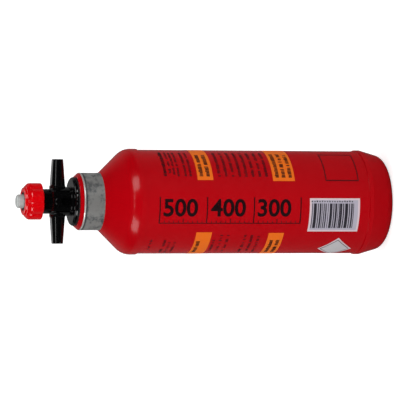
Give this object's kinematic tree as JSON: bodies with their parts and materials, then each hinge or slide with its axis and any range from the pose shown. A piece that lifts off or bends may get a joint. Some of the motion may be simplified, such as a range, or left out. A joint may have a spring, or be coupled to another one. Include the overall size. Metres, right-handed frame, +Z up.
{
  "type": "camping fuel bottle",
  "caption": "Round-shouldered plastic fuel bottle with a metal neck band and a screw-in pouring valve with two side spouts, a press stem and a fluted knob.",
  "frame": {"origin": "centre of the bottle's foot, on the surface that it stands on", "axes": "+Z up along the bottle's axis to the knob; the air spout points along +X and the pouring spout along -X; the label side faces -Y"},
  "size_m": [0.0684, 0.0682, 0.245],
  "materials": {
    "red_bottle": "satin moulded polyethylene",
    "band_metal": "rolled, lightly scuffed",
    "label_paper": "matte printed film",
    "rubber": "matte",
    "black_valve": "gloss moulded",
    "steel": "plain",
    "pale_stem": "satin",
    "red_knob": "gloss moulded"
  },
  "bodies": {
    "bottle": {"bottle_shell": "red_bottle", "neck_band": "band_metal", "striped_label": "label_paper", "diamond_label": "label_paper"},
    "gasket": {"neck_gasket": "rubber"},
    "valve": {"valve_body": "black_valve", "gland_bush": "black_valve", "stem_o_ring": "rubber", "gland_nut": "black_valve", "spring_washer": "steel", "return_spring": "steel"},
    "stem": {"stem": "pale_stem", "seal_disc": "rubber", "seal_washer": "steel", "lock_nut": "steel"},
    "knob_ring": {"knob_seal": "rubber"},
    "knob": {"knob": "red_knob"}
  },
  "joints": [
    {"name": "valve_rise", "type": "slide", "parent": "bottle", "child": "gasket", "axis": [0, 0, 1], "range_m": [0, 0.014]},
    {"name": "valve_turn", "type": "hinge", "parent": "gasket", "child": "valve", "pos_m": [0, 0, 0.2066], "axis": [0, 0, 1], "range_deg": [0, 1260]},
    {"name": "stem_press", "type": "slide", "parent": "valve", "child": "stem", "axis": [0, 0, -1], "range_m": [0, 0.0022], "stiffness_N_per_m": 600, "springref_m": -0.004, "deforming": ["return_spring"]},
    {"name": "knob_rise", "type": "slide", "parent": "stem", "child": "knob_ring", "axis": [0, 0, 1], "range_m": [0, 0.003]},
    {"name": "knob_turn", "type": "hinge", "parent": "knob_ring", "child": "knob", "pos_m": [0, 0, 0.229], "axis": [0, 0, 1], "range_deg": [0, 720]}
  ],
  "couplings": [
    {"joint": "valve_rise", "follows": "valve_turn", "m_per_rad": 0.00063661},
    {"joint": "knob_rise", "follows": "knob_turn", "m_per_rad": 0.00023873}
  ]
}
